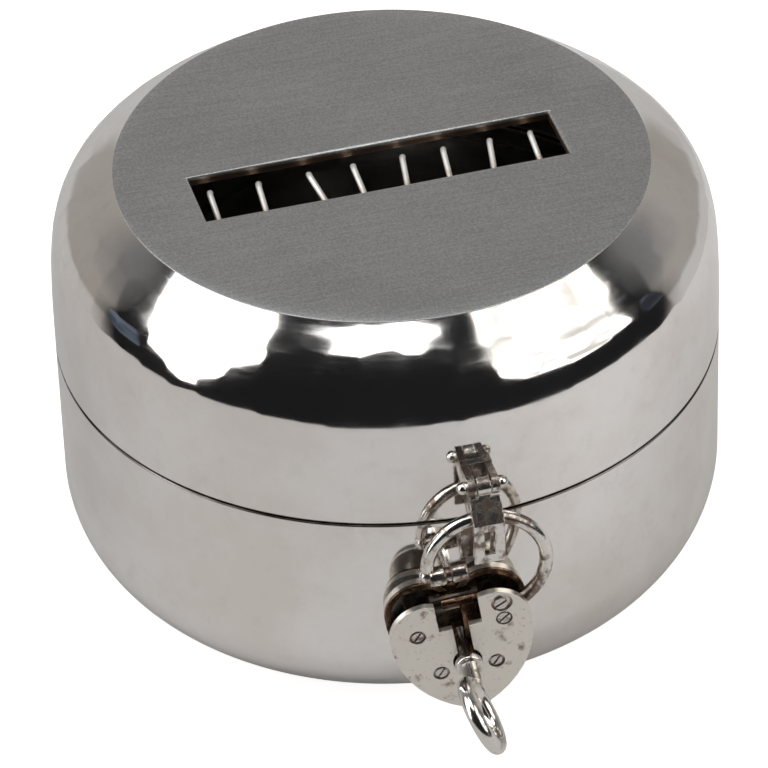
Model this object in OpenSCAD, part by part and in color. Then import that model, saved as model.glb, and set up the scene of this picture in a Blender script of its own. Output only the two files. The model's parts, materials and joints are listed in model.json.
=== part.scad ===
// Round coin bank of sheet silver: a raised cup, a domed lid on a rear hinge with a coin
// slot guarded by wires, and at the front a hasp, a lug and a small heart-shaped padlock
// with its key. Origin at the centre of the resting face, +Z up, -Y towards the hasp,
// +X to the right as seen from the front. Millimetres.

/* [Body and lid] */
// Outer diameter of the cup and of the lid's wall
body_d = 100; // [80:1:120]
// Height of the cup, up to the joint line
seam_h = 38; // [32:0.5:60]
// Height from the joint line to the top of the disc
lid_h = 29; // [25:0.5:40]
// Thickness of the raised sheet
wall_t = 1.2; // [0.8:0.1:1.8]
// Outer radius of the rounded corner at the foot
foot_corner_r = 15; // [6:0.5:20]
// Width of the sloping shoulder, from the disc's edge to the wall
shoulder_w = 10.2; // [8:0.2:14]
// Height of the shoulder's curve
shoulder_drop = 23.3; // [18:0.1:24]
// Slope of the shoulder where it leaves the disc, in degrees
shoulder_slope = 37; // [25:1:50]
// Gap between the lid and the cup
seam_gap = 0.3; // [0.2:0.05:0.6]
// Thickness of the inner collar that centres the lid
collar_t = 1; // [0.8:0.1:1.5]
// Height of the collar above the joint line
collar_rise = 3; // [2:0.5:5]
// Height of the collar below the joint line
collar_depth = 6; // [4:0.5:10]

/* [Coin slot] */
// Thickness of the flat disc
disc_t = 1.5; // [1:0.1:2]
// How far the disc stands proud of the shoulder
disc_step = 0.15; // [0.05:0.05:0.4]
// Width of the ledge that carries the disc
ledge_w = 1.8; // [1:0.1:3]
// Length of the slot
slot_l = 55.5; // [40:0.5:58]
// Width of the slot
slot_w = 11.4; // [8:0.2:12]
// Distance of the slot's middle in front of the disc's centre
slot_forward = 1.3; // [0:0.1:6]
// Distance of the slot's middle to the right of the centre
slot_side = -0.7; // [-2:0.1:2]
// Turn of the slot, in degrees
slot_turn = 1; // [-5:0.5:5]
// Diameter of the guard wires
wire_d = 0.9; // [0.6:0.1:1.2]
// Depth of the strip that carries the guard wires
rail_depth = 5; // [4:0.5:7]

/* [Hinge] */
// Width of the hinge
hinge_w = 24; // [18:1:36]
// Height of each hinge leaf
leaf_h = 9; // [6:0.5:12]
// Thickness of a leaf at its middle
leaf_t = 0.9; // [0.6:0.1:1.2]
// Outer diameter of the hinge knuckles
knuckle_d = 3.8; // [3.2:0.1:5]
// Diameter of the hinge pin
pin_d = 1.8; // [1.4:0.1:2.2]

/* [Hasp and lug] */
// Gap between the wall and the back of the padlock
wall_gap = 0.6; // [0.6:0.1:1.2]
// Height of the hanging point above the joint line
hang_up = 3.2; // [3:0.1:4]
// Thickness of the lug
lug_t = 1.1; // [0.8:0.1:1.3]
// Width of the hasp's strap
hasp_w = 4.6; // [4.4:0.2:7]
// Thickness of the strap
hasp_t = 1; // [0.8:0.1:1.1]
// Height of the hasp's hinge above the joint line
hasp_hinge_up = 8.8; // [8.6:0.1:10]
// Depth of the strap's end below the joint line
hasp_drop = 2.6; // [2:0.1:4]
// Diameter of the hasp's hinge pin
hasp_pin_d = 1.2; // [1:0.1:1.4]

/* [Padlock] */
// Radius of the shackle, at the middle of its wire
shackle_r = 8.7; // [8.6:0.1:9.6]
// Diameter of the shackle's wire
shackle_d = 2; // [1.6:0.1:2.4]
// Thickness of the case over both plates
case_t = 7; // [6.8:0.1:8.4]
// Thickness of each plate
plate_t = 1.1; // [0.8:0.1:1.2]
// Radius of the two lobes
lobe_r = 5.4; // [5:0.1:6]
// Distance of each lobe's centre from the middle
lobe_x = 5.05; // [4.8:0.05:5.6]
// Depth of the point below the lobes' centres
tip_drop = 15.6; // [13:0.2:18]
// Radius of the case's curved sides
side_r = 16; // [15:0.5:24]
// Lean of the hanging case, in degrees
case_lean = 8; // [0:1:12]
// Turn of the padlock towards the left, in degrees
padlock_turn = 6; // [0:1:8]

/* [Key] */
// Outer diameter of the key's barrel
barrel_d = 3; // [2.6:0.1:3.2]
// Outer diameter of the bow
bow_d = 12.3; // [10:0.1:14]
// Diameter of the bow's wire
bow_wire_d = 2.3; // [1.8:0.1:2.6]
// Distance of the bow's centre from the front plate
bow_out = 12.3; // [12:0.1:15]
// Turn of the bow about the barrel, in degrees
bow_turn = 18; // [0:1:90]

/* [Clearances] */
// Radial clearance of a shaft that turns in a hole
run_fit = 0.05; // [0.02:0.01:0.08]
// Gap between pieces that move past each other
part_gap = 0.3; // [0.2:0.05:0.4]

/* [Hidden] */
$fn = 64;
body_fn = 144;
body_r = body_d / 2;
top_z = seam_h + lid_h;
disc_r = body_r - shoulder_w;
inner_r = body_r - wall_t;
eps = 0.01;

// The shoulder is a cubic curve from the disc's edge to the upright wall.
shoulder_steps = 16;
slope_pull = 0.85;
wall_pull = 0.77;
shoulder_points = [
    [disc_r, top_z - disc_step],
    [disc_r + slope_pull * shoulder_w,
        top_z - disc_step - slope_pull * shoulder_w * tan(shoulder_slope)],
    [body_r, top_z - shoulder_drop * (1 - wall_pull)],
    [body_r, top_z - shoulder_drop]
];
function cubic(p, t) = pow(1 - t, 3) * p[0] + 3 * pow(1 - t, 2) * t * p[1]
    + 3 * (1 - t) * t * t * p[2] + t * t * t * p[3];
function cubic_slope(p, t) = pow(1 - t, 2) * (p[1] - p[0])
    + 2 * (1 - t) * t * (p[2] - p[1]) + t * t * (p[3] - p[2]);
function inward(v) = [v[1], -v[0]] / norm(v);
outer_curve = [for (i = [0:shoulder_steps]) cubic(shoulder_points, i / shoulder_steps)];
inner_curve = [for (i = [0:shoulder_steps]) let (t = i / shoulder_steps)
    cubic(shoulder_points, t) + wall_t * inward(cubic_slope(shoulder_points, t))];
function arc(centre, r, from, to, steps) = [for (i = [0:steps])
    centre + r * [cos(from + (to - from) * i / steps), sin(from + (to - from) * i / steps)]];
corner_steps = 12;

// Coin slot and its guard wires, in the slot's own axes: x along it, y to the rear.
slot_front = -slot_w / 2;
rail_t = 1;
rail_set_back = 1.2;
rail_back = slot_front - rail_set_back;
rail_l = slot_l - 3;
wire_count = 8;
wire_end_gap = 3.25;
wire_pitch = (slot_l - 2 * wire_end_gap) / (wire_count - 1);
wire_offset = -0.2;
wire_foot_up = 0.8;
wire_head_gap = 0;
wire_leans = [0.3, -0.1, 2.6, 0.8, -1.2, -0.7, -1.5, 0.3];
wire_shifts = [0, 0, 3.4, 1.4, 0, -0.2, -0.8, 0.3];
wire_foot = [rail_back + wire_d / 2, top_z - disc_t - rail_depth + wire_foot_up];
wire_bend = [-slot_front - 2, top_z - disc_t - wire_d / 2 - wire_head_gap];
wire_tail = [0.5, 1.3, -1.1];
bead_d = wire_d + 0.1;

// Rear hinge: three knuckles, the middle one on the lid's leaf.
knuckle_sink = 0.4;
hinge_y = body_r + leaf_t + knuckle_d / 2 - knuckle_sink;
hinge_z = seam_h + seam_gap / 2;
mid_knuckle_w = 10.08;
pin_end = 0.4;
lid_leaf_h = leaf_h - 3;
saddle_root = 4;

// Hasp, lug and the point where the shackle hangs; "out" is measured from the wall.
hang_out = case_t / 2 + wall_gap;
hang_z = seam_h + hang_up;
eye_r = shackle_d / 2 + 0.3;
eye_rise = 0.1;
lug_r = eye_r + 0.7;
lug_pad_w = 5;
lug_pad_t = 0.8;
lug_foot = -6.5;
lug_clear = 0.4;
hasp_hinge = [hang_out - 0.3, hasp_hinge_up];
hasp_bend = [hang_out + shackle_d / 2 + 1.9, hang_up + 1];
hasp_slot = [1.5, -1, 3];
ear_t = 1.1;
ear_r = 1.5;
hasp_neck_w = hasp_w - 2 * (ear_t + 0.2);
hasp_relief_r = ear_r + part_gap;
bracket_up = [-1.6, 1.8];
bracket_t = 0.9;
pin_head_r = 0.95;
pin_head_out = 0.55;

// Shackle: centre, toe and heel in the hanging frame.
shackle_centre = [0.35, -shackle_r];
heel_angle = -66;
toe_angle = 186;
pivot_from_centre = [1.84, -7.68];
pivot_hang = shackle_centre + pivot_from_centre;
heel_r = 2.3;
heel_gap = 1.1;
heel_t = case_t - 2 * (plate_t + heel_gap);
pivot_d = 1.6;
catch_d = 3;
catch_from = [-8.5, -1.5];
catch_to = [-2.8, -0.7];

// Case: u to the right and v up from the middle of the lobes, w out of the front plate.
pivot_case = [lobe_x + 1.35, 0.2];
half_t = case_t / 2;
inner_w = half_t - plate_t;
side_gap = side_r - lobe_r;
k0 = (pow(lobe_x, 2) - pow(tip_drop, 2) - pow(side_gap, 2) + pow(side_r, 2)) / (2 * tip_drop);
k1 = lobe_x / tip_drop;
qa = 1 + k1 * k1;
qb = 2 * (lobe_x + k0 * k1);
qc = lobe_x * lobe_x + k0 * k0 - side_gap * side_gap;
side_u = (-qb + sqrt(qb * qb - 4 * qa * qc)) / (2 * qa);
side_v = k0 + k1 * side_u;
touch_angle = atan2(-side_v, side_u + lobe_x);
rim_t = 0.9;
rim_top = -3.6;
lip_w = -1.9;
screw_r = 0.5;
head_r = 0.85;
head_t = 0.45;
sink_r = 1.2;
sink_t = 0.55;
stop_sink_r = sink_r + 0.35;
post_r = 1;
left_screw = [-lobe_x - 1.35, 0.2];
keyhole = [0, -6.1];
cam_r = 3;
low_screw_drop = 1.3;
low_screw_u = sqrt(pow(cam_r + post_r + part_gap, 2) - pow(low_screw_drop, 2));
low_screws = [for (s = [-1, 1]) keyhole + [s * low_screw_u, -low_screw_drop]];
stop_edge = 0.43;
stop_screw = [lobe_x, 0] + (lobe_r - stop_sink_r - stop_edge) * [cos(65), sin(65)];
left_post_r = 0.8;
slit_w = 0.25;
cleft_w = 6.4;
cleft_v = 0.3;

// Key and lock, about the keyhole.
keyhole_r = 2.1;
key_slot_w = 2.4;
barrel_r = barrel_d / 2;
drill_r = 0.7;
cam_w = [-inner_w + 0.2, -0.7];
bit_t = 0.9;
bit_r = cam_r - 0.1;
bit_w = [-inner_w + 0.15, -0.85];
throw_r = 2.45;
throw_pin_r = 0.4;
bolt_r = 0.8;
bolt_v = 1.1;
bolt_w = -inner_w + bolt_r + 0.1;
bolt_u = throw_r * sin(45);
bolt_ends = [-1.9, 3.6];
tail_w = [-0.5, 0.3];
tail_end_v = keyhole[1] + barrel_r + 0.15;
fork_half = throw_pin_r + 0.1;
fork_t = 0.6;
bolt_way = 8.6;

// ---- body ----

// Raised cup with a flat foot and a rounded corner.
module body_shell() {
    corner = [body_r - foot_corner_r, foot_corner_r];
    color("silver") rotate_extrude($fn = body_fn)
        polygon(concat([[0, 0]],
            arc(corner, foot_corner_r, -90, 0, corner_steps),
            [[body_r, seam_h], [inner_r, seam_h]],
            arc(corner, foot_corner_r - wall_t, 0, -90, corner_steps),
            [[0, wall_t]]));
}

// Collar soldered inside the cup's rim; the lid drops over it.
module rim_collar() {
    color("gainsboro") rotate_extrude($fn = body_fn)
        polygon([[inner_r - collar_t, seam_h - collar_depth], [inner_r, seam_h - collar_depth],
            [inner_r, seam_h - eps], [inner_r - part_gap, seam_h - eps],
            [inner_r - part_gap, seam_h + collar_rise],
            [inner_r - collar_t, seam_h + collar_rise]]);
}

// ---- rear hinge ----

module across(r, from, to) {
    translate([from, 0, 0]) rotate([0, 90, 0]) cylinder(r = r, h = to - from);
}

// A plate whose inner face follows the round wall.
module saddle(half_w, out, z0, z1) {
    difference() {
        translate([-half_w, body_r - saddle_root, z0])
            cube([2 * half_w, saddle_root + out, z1 - z0]);
        translate([0, 0, z0 - 1]) cylinder(r = body_r, h = z1 - z0 + 2, $fn = body_fn);
    }
}

module hinge_leaf_body() {
    inner_x = (mid_knuckle_w + part_gap) / 2;
    side = hinge_w / 2 - inner_x;
    color("silver") difference() {
        union() {
            difference() {
                saddle(hinge_w / 2, leaf_t, hinge_z - leaf_h, seam_h - eps);
                translate([0, hinge_y, hinge_z])
                    across(knuckle_d / 2 + part_gap, -inner_x, inner_x);
            }
            for (x = [-hinge_w / 2, inner_x])
                translate([0, hinge_y, hinge_z]) across(knuckle_d / 2, x, x + side);
        }
        translate([0, hinge_y, hinge_z]) across(pin_d / 2, -hinge_w, hinge_w);
    }
}

module hinge_leaf_lid() {
    half = (mid_knuckle_w - part_gap) / 2;
    color("silver") difference() {
        union() {
            difference() {
                saddle(hinge_w / 2, leaf_t, seam_h + seam_gap, hinge_z + lid_leaf_h);
                for (x = [-hinge_w, half]) translate([0, hinge_y, hinge_z])
                    across(knuckle_d / 2 + part_gap, x, x + hinge_w - half);
            }
            translate([0, hinge_y, hinge_z]) across(knuckle_d / 2, -half, half);
        }
        translate([0, hinge_y, hinge_z]) across(pin_d / 2 + run_fit, -hinge_w, hinge_w);
    }
}

module hinge_pin() {
    color("gray") translate([0, hinge_y, hinge_z])
        across(pin_d / 2, -hinge_w / 2 - pin_end, hinge_w / 2 + pin_end);
}

// ---- lid ----

// Domed lid with a ledge that carries the disc.
module lid_shell() {
    ledge_z = top_z - disc_t - wall_t;
    color("gainsboro") rotate_extrude($fn = body_fn)
        polygon(concat(outer_curve,
            [[body_r, seam_h + seam_gap], [inner_r, seam_h + seam_gap]],
            [for (i = [shoulder_steps:-1:0]) if (inner_curve[i][1] < ledge_z) inner_curve[i]],
            [[disc_r - ledge_w, ledge_z], [disc_r - ledge_w, top_z - disc_t],
                [disc_r, top_z - disc_t]]));
}

module in_slot() {
    rotate([0, 0, slot_turn]) translate([slot_side, -slot_forward, 0]) children();
}

// Flat satin disc with the coin slot.
module top_disc() {
    color("dimgray") difference() {
        translate([0, 0, top_z - disc_t]) cylinder(r = disc_r, h = disc_t, $fn = body_fn);
        in_slot() translate([-slot_l / 2, slot_front, top_z - disc_t - 1])
            cube([slot_l, slot_w, disc_t + 2]);
    }
}

// Strip under the slot's front edge; the guard wires are soldered to it.
module wire_rail() {
    color("gray") in_slot()
        translate([-rail_l / 2, rail_back - rail_t, top_z - disc_t - rail_depth])
        cube([rail_l, rail_t, rail_depth]);
}

module rod(a, b, r) {
    v = b - a;
    translate(a) rotate([0, acos(v[2] / norm(v)), atan2(v[1], v[0])])
        cylinder(r = r, h = norm(v), $fn = 24);
}

// A wire finger: it rises towards the rear edge and hooks over near it.
module guard_wire(i) {
    x = (i - (wire_count - 1) / 2) * wire_pitch + wire_offset + wire_shifts[i];
    foot = [x, wire_foot[0], wire_foot[1]];
    bend = [x - wire_leans[i], wire_bend[0], wire_bend[1]];
    tail = bend + wire_tail;
    color("white") in_slot() {
        rod(foot, bend, wire_d / 2);
        rod(bend, tail, wire_d / 2);
        translate(bend) sphere(d = bead_d, $fn = 24);
        translate(tail) sphere(d = bead_d, $fn = 24);
    }
}

// ---- hasp and lug, drawn in a plane of (out from the wall, up from the joint line) ----

module side_profile(from_x, to_x) {
    translate([0, -body_r, seam_h]) rotate([0, 0, -90]) rotate([90, 0, 0])
        translate([0, 0, from_x]) linear_extrude(to_x - from_x) children();
}

module bar2d(a, b, t) {
    v = b - a;
    translate(a) rotate(atan2(v[1], v[0])) translate([0, -t / 2]) square([norm(v), t]);
}

// Upright lug on the cup: its eye carries the shackle, in front of the lid's wall.
module lock_lug() {
    eye = [hang_out, hang_up + eye_rise];
    color("silver") difference() {
        union() {
            side_profile(-lug_t / 2, lug_t / 2) difference() {
                union() {
                    polygon([[-1, lug_foot], [1.8, lug_foot], [hang_out + lug_r - 0.4, -1.5],
                        [hang_out + lug_r, eye[1]], [hang_out - lug_r, eye[1]],
                        [lug_clear, 1.2], [lug_clear, -lug_clear], [-1, -lug_clear]]);
                    translate(eye) circle(lug_r);
                }
                translate(eye) circle(eye_r);
            }
            side_profile(-lug_pad_w / 2, lug_pad_w / 2)
                translate([-1, lug_foot]) square([1 + lug_pad_t, -lug_clear - lug_foot]);
        }
        translate([0, 0, seam_h + lug_foot - 1])
            cylinder(r = body_r, h = 1 - lug_foot - lug_clear / 2, $fn = body_fn);
    }
}

// Bracket on the lid with two ears for the hasp's pin.
module hasp_bracket() {
    color("silver") difference() {
        union() {
            side_profile(-hasp_w / 2, hasp_w / 2)
                translate([-1, hasp_hinge[1] + bracket_up[0]])
                square([1 + bracket_t, bracket_up[1] - bracket_up[0]]);
            for (x = [-hasp_w / 2, hasp_w / 2 - ear_t]) side_profile(x, x + ear_t) {
                translate(hasp_hinge) circle(ear_r);
                translate([-1, hasp_hinge[1] - ear_r]) square([1 + hasp_hinge[0], 2 * ear_r]);
            }
        }
        side_profile(-hasp_w, hasp_w) translate(hasp_hinge) circle(hasp_pin_d / 2);
        rotate_extrude($fn = body_fn) polygon(concat([[0, seam_h], [body_r, seam_h]],
            [for (i = [shoulder_steps:-1:0]) outer_curve[i]], [[0, top_z - disc_step]]));
    }
}

// Pin with a round head at each end, turned in one piece.
module hasp_pin() {
    end = hasp_w / 2 + eps;
    centre = [0, end + pin_head_out];
    head = arc(centre, pin_head_r, 90, -asin(pin_head_out / pin_head_r), 10);
    color("white") translate([0, -body_r - hasp_hinge[0], seam_h + hasp_hinge[1]])
        rotate([0, 90, 0]) rotate_extrude($fn = 32)
        polygon(concat(head, [[hasp_pin_d / 2, end], [hasp_pin_d / 2, -end]],
            [for (i = [len(head) - 1:-1:0]) [head[i][0], -head[i][1]]]));
}

// Cranked strap: it slopes out over the lug and the shackle, then hangs as a slotted tongue.
module hasp() {
    low = [hasp_bend[0], -hasp_drop];
    color("gainsboro") difference() {
        union() {
            difference() {
                side_profile(-hasp_w / 2, hasp_w / 2) {
                    bar2d(hasp_hinge, hasp_bend, hasp_t);
                    bar2d(hasp_bend, low, hasp_t);
                    translate(hasp_bend) circle(hasp_t / 2);
                }
                side_profile(-hasp_w, hasp_w) translate(hasp_hinge) circle(hasp_relief_r);
            }
            side_profile(-hasp_neck_w / 2, hasp_neck_w / 2) {
                bar2d(hasp_hinge, hasp_bend, hasp_t);
                translate(hasp_hinge) circle(ear_r);
            }
        }
        side_profile(-hasp_w, hasp_w) translate(hasp_hinge)
            circle(hasp_pin_d / 2 + run_fit);
        side_profile(-hasp_slot[0] / 2, hasp_slot[0] / 2)
            translate([hasp_bend[0] - hasp_t, hasp_slot[1]])
            square([2 * hasp_t, hasp_slot[2] - hasp_slot[1]]);
    }
}

// ---- padlock ----

// Frame of the hanging padlock: x right, y up, z out towards the front.
module hanging() {
    translate([0, -body_r - hang_out, hang_z]) rotate([0, 0, -padlock_turn])
        rotate([90, 0, 0]) children();
}

// Frame of the case, about the middle of its lobes.
module in_case() {
    hanging() translate(pivot_hang) rotate(case_lean) translate(-pivot_case) children();
}

module slab(w0, w1) {
    translate([0, 0, w0]) linear_extrude(w1 - w0) children();
}

// Wire ring, open at the toe, with a flat eye at the heel and a grooved catch at the toe.
module shackle() {
    toe = shackle_centre + shackle_r * [cos(toe_angle), sin(toe_angle)];
    catch_a = shackle_centre + catch_from;
    catch_b = shackle_centre + catch_to;
    along = catch_b - catch_a;
    color("silver") hanging() difference() {
        union() {
            translate(shackle_centre) rotate(heel_angle)
                rotate_extrude(angle = toe_angle - heel_angle)
                translate([shackle_r, 0]) circle(d = shackle_d, $fn = 32);
            slab(-heel_t / 2, heel_t / 2) translate(pivot_hang) circle(heel_r);
            translate(toe) sphere(d = shackle_d + 0.5, $fn = 32);
            translate(catch_a) rotate(atan2(along[1], along[0])) rotate([0, 90, 0]) {
                cylinder(d = catch_d - 0.8, h = norm(along), $fn = 32);
                cylinder(d = catch_d, h = 0.42 * norm(along), $fn = 32);
                translate([0, 0, 0.58 * norm(along)])
                    cylinder(d = catch_d, h = 0.42 * norm(along), $fn = 32);
            }
        }
        slab(-heel_t, heel_t) translate(pivot_hang) circle(pivot_d / 2 + run_fit);
    }
}

// Heart outline: on each side a lobe's arc, then a wide arc that runs on to the point.
module heart(inset = 0) {
    r = lobe_r - inset;
    cleft_angle = r > lobe_x ? 180 - acos(lobe_x / r) : 180;
    tip_angle = -acos(side_u / (side_r - inset));
    right = concat(arc([lobe_x, 0], r, cleft_angle, touch_angle, 20),
        [for (i = [1:10]) let (a = touch_angle + (tip_angle - touch_angle) * i / 10)
            [-side_u, side_v] + (side_r - inset) * [cos(a), sin(a)]]);
    polygon(concat(right, [for (i = [len(right) - 2:-1:cleft_angle < 180 ? 1 : 0])
        [-right[i][0], right[i][1]]]));
}

// Back plate with the posts for the screws and the two rails that guide the bolt.
module case_back() {
    color("silver") in_case() difference() {
        union() {
            slab(-half_t, -inner_w) heart();
            for (p = low_screws) slab(-inner_w - eps, inner_w) translate(p) circle(post_r);
            slab(-inner_w - eps, inner_w) translate(left_screw) circle(left_post_r);
            for (s = [-1, 1])
                slab(-inner_w - eps, -inner_w + bolt_r)
                translate([bolt_ends[0] - 1.6, bolt_v + s * (bolt_r + run_fit + 0.25) - 0.25])
                square([bolt_ends[1] - bolt_ends[0] + 1.6, 0.5]);
        }
        for (p = concat([left_screw], low_screws))
            slab(-half_t + 0.4, half_t) translate(p) circle(screw_r);
        slab(-half_t - 1, half_t) translate(pivot_case) circle(pivot_d / 2);
        slab(-half_t + 0.4, half_t) translate(keyhole) circle(drill_r);
    }
}

// Side band: full height round the point, only a low lip round the open lobes.
module case_rim() {
    color("peru") in_case() difference() {
        union() {
            slab(-inner_w, inner_w) difference() {
                heart();
                heart(rim_t);
                translate([-3 * lobe_r, rim_top]) square([6 * lobe_r, 3 * lobe_r]);
            }
            slab(-inner_w, lip_w) difference() {
                heart();
                heart(rim_t);
                translate([-3 * lobe_r, 2 * rim_top]) square([6 * lobe_r, -rim_top]);
                translate([-bolt_way / 2, -1]) square([bolt_way, 4.2]);
            }
        }
    }
}

// Front plate with the keyhole, the open cleft and the sunk seats of the screws.
module case_front() {
    color("gainsboro") in_case() difference() {
        slab(inner_w, half_t) difference() {
            heart();
            translate([-cleft_w / 2, cleft_v]) square([cleft_w, 2 * lobe_r]);
            translate(keyhole) circle(keyhole_r);
            translate([-key_slot_w / 2, keyhole[1]]) square([key_slot_w, 2 * lobe_r]);
            for (p = concat([left_screw, stop_screw], low_screws)) translate(p) circle(screw_r);
            translate(pivot_case) circle(pivot_d / 2);
        }
        slab(half_t - sink_t, half_t + 1) {
            for (p = concat([left_screw, pivot_case], low_screws)) translate(p) circle(sink_r);
            translate(stop_screw) circle(stop_sink_r);
        }
    }
}

module slotted_head(p, turn, r) {
    translate(p) difference() {
        slab(half_t - sink_t, half_t - sink_t + head_t) circle(r);
        slab(half_t - sink_t + head_t / 2, half_t + 1)
            rotate(turn) square([3 * r, slit_w], center = true);
    }
}

// Three case screws and the stop screw beside the shackle's pivot.
module case_screws() {
    color("silver") in_case() {
        for (p = concat([left_screw], low_screws)) {
            slotted_head(p, 50, head_r);
            slab(-half_t + 0.4, half_t - sink_t + eps) translate(p) circle(screw_r);
        }
        slotted_head(stop_screw + [-0.15, -0.2], 25, head_r + 0.15);
        slab(inner_w, half_t - sink_t + eps) translate(stop_screw) circle(screw_r);
    }
}

// Slotted pin that the shackle turns on.
module shackle_pivot() {
    color("silver") in_case() {
        slotted_head(pivot_case, 35, head_r + 0.1);
        slab(-half_t, half_t - sink_t + eps) translate(pivot_case) circle(pivot_d / 2);
    }
}

// Fixed post that the hollow key slides over.
module drill_pin() {
    color("gray") in_case() slab(-half_t + 0.4, 1.6) translate(keyhole) circle(drill_r);
}

// Thin leaf that presses on the bolt and holds it where the key leaves it.
module detent_spring() {
    leaf_v = bolt_v + bolt_r + run_fit + 0.5 + eps;
    color("goldenrod") in_case() {
        slab(-inner_w, -inner_w + bolt_r) translate([bolt_ends[0], leaf_v]) square([4.6, 0.25]);
        slab(-inner_w, -inner_w + bolt_r) translate([bolt_ends[0] - 1, leaf_v]) square([1, 0.6]);
    }
}

// Cam that the key's bit turns; its pin drives the bolt's fork.
module lock_cam() {
    color("goldenrod") in_case() {
        slab(cam_w[0], cam_w[1]) translate(keyhole) difference() {
            circle(cam_r);
            circle(barrel_r + run_fit);
            translate([-bit_t / 2 - 0.1, 0]) square([bit_t + 0.2, 2 * cam_r]);
        }
        slab(cam_w[1] - eps, tail_w[1]) translate(keyhole)
            translate(throw_r * [sin(45), cos(45)]) circle(throw_pin_r);
    }
}

// Sliding bolt with a forked tail.
module lock_bolt() {
    color("peru") in_case() {
        translate([bolt_ends[0], bolt_v, bolt_w]) rotate([0, 90, 0])
            cylinder(r = bolt_r, h = bolt_ends[1] - bolt_ends[0], $fn = 32);
        slab(bolt_w, tail_w[1]) translate([bolt_u - 0.9, bolt_v - 0.6]) square([1.8, 1.2]);
        slab(tail_w[0], tail_w[1]) {
            for (s = [-1, 1]) translate([bolt_u + s * (fork_half + fork_t / 2) - fork_t / 2,
                tail_end_v]) square([fork_t, bolt_v - tail_end_v]);
            translate([bolt_u - fork_half - fork_t, tail_end_v + 1.6])
                square([2 * (fork_half + fork_t), bolt_v - tail_end_v - 1.6]);
        }
    }
}

// ---- key ----

shank_end = half_t + bow_out - bow_d / 2 - 0.5;
neck_l = 1.6;

// Hollow barrel with a collar and a slimmer shank.
module key_shank() {
    color("silver") in_case() translate(keyhole) difference() {
        union() {
            slab(-inner_w + 0.1, half_t + 1) circle(barrel_r);
            slab(half_t + 0.5, half_t + 1.7) circle(barrel_r + 0.5);
            slab(half_t + 1, shank_end) circle(barrel_r - 0.25);
        }
        slab(-half_t, 1.9) circle(drill_r + run_fit);
    }
}

// Plain bit, brazed to the barrel.
module key_bit() {
    color("silver") in_case() translate(keyhole) slab(bit_w[0], bit_w[1]) difference() {
        translate([-bit_t / 2, 0]) square([bit_t, bit_r]);
        circle(barrel_r);
    }
}

// Ring bow with a short neck.
module key_bow() {
    ring_r = (bow_d - bow_wire_d) / 2;
    color("silver") in_case() translate(keyhole) rotate(bow_turn) {
        translate([0, 0, half_t + bow_out]) rotate([0, 90, 0]) rotate_extrude()
            translate([ring_r, 0]) circle(d = bow_wire_d, $fn = 32);
        slab(shank_end, shank_end + neck_l) circle(barrel_r - 0.25);
    }
}

body_shell();
rim_collar();
hinge_leaf_body();
hinge_pin();
lock_lug();
lid_shell();
top_disc();
wire_rail();
for (i = [0:wire_count - 1])
    guard_wire(i);
hinge_leaf_lid();
hasp_bracket();
hasp_pin();
hasp();
shackle();
case_back();
case_rim();
case_front();
case_screws();
shackle_pivot();
drill_pin();
detent_spring();
lock_cam();
lock_bolt();
key_shank();
key_bit();
key_bow();
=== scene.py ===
# %% [markdown]
# # A round silver coin bank with a heart-shaped padlock
#
# The bank is a raised cup and a domed lid of sheet silver, with a satin disc on top, a coin
# slot guarded by wires, and at the front a hasp, a lug and a small padlock with its key.
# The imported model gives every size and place. This script remakes the pieces that show as
# smooth surfaces with soft edges, and gives each finish its own material.

# %% [markdown]
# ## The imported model
#
# The model comes in as fixed objects in metres. Nothing is fitted by eye: a piece takes its
# size from the box of the node that it stands for. Millimetres are easier to read for an
# object this small, so the shapes below are worked out in them and scaled once.

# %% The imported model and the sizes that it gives
import json
import math

import bpy
import bmesh
import numpy as np
from mathutils import Matrix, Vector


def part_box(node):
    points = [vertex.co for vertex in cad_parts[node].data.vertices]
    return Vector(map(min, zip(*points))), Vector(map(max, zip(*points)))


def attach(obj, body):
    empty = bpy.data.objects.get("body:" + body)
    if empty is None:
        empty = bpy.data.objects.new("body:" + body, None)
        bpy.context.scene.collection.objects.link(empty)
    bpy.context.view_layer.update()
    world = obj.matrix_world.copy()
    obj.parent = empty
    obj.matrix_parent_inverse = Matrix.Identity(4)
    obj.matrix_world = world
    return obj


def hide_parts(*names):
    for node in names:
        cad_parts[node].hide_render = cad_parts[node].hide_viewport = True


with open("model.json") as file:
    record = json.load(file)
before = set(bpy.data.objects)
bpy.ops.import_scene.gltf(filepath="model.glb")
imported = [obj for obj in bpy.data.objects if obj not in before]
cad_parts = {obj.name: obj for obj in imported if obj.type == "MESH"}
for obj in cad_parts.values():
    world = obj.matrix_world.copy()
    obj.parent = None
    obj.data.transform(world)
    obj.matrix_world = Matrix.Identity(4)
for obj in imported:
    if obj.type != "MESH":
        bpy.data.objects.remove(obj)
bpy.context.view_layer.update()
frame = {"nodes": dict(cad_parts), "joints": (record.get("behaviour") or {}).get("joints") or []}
nodes = frame["nodes"]
joints = {joint["name"]: joint for joint in frame["joints"]}
MM = 0.001


def box_mm(node):
    """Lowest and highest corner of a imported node, in millimetres."""
    low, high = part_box(node)
    return np.array(low) / MM, np.array(high) / MM


_, cup_high = box_mm("body_shell")
lid_low, lid_high = box_mm("lid_shell")
disc_low, disc_high = box_mm("top_disc")
_, collar_high = box_mm("rim_collar")
body_r = cup_high[0]
inner_r = collar_high[0]
wall_t = body_r - inner_r
disc_r = disc_high[0]
top_z = disc_high[2]
disc_t = top_z - disc_low[2]
print(f"body radius {body_r:.1f}, wall {wall_t:.2f}, disc radius {disc_r:.1f}, top {top_z:.1f}")

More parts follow.
